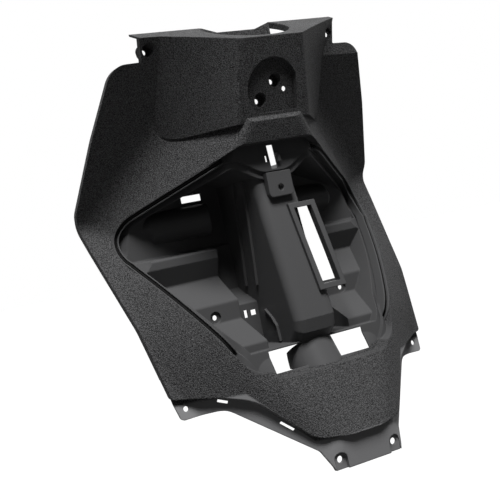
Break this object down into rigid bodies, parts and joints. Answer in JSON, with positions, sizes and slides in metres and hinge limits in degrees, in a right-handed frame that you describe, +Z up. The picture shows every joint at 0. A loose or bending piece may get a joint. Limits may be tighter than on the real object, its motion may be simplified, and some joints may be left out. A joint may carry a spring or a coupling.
{
  "type": "scooter leg shield",
  "caption": "Thin-walled moulded leg shield for a scooter, with swept wings, a steering column cover, a stepped storage opening with a deep tub, and a lower fixing tongue.",
  "frame": {"origin": "midway between the centres of the two lower side fixing holes, on the rider's side of the tabs", "axes": "+Z up, +Y away from the rider, +X to the right of someone who faces the rider's side"},
  "size_m": [0.459, 0.237, 0.5686],
  "materials": {
    "shield_plastic": "fine grained matte black, smoother inside the tub"
  },
  "bodies": {
    "root": {"leg_shield": "shield_plastic"}
  },
  "joints": []
}
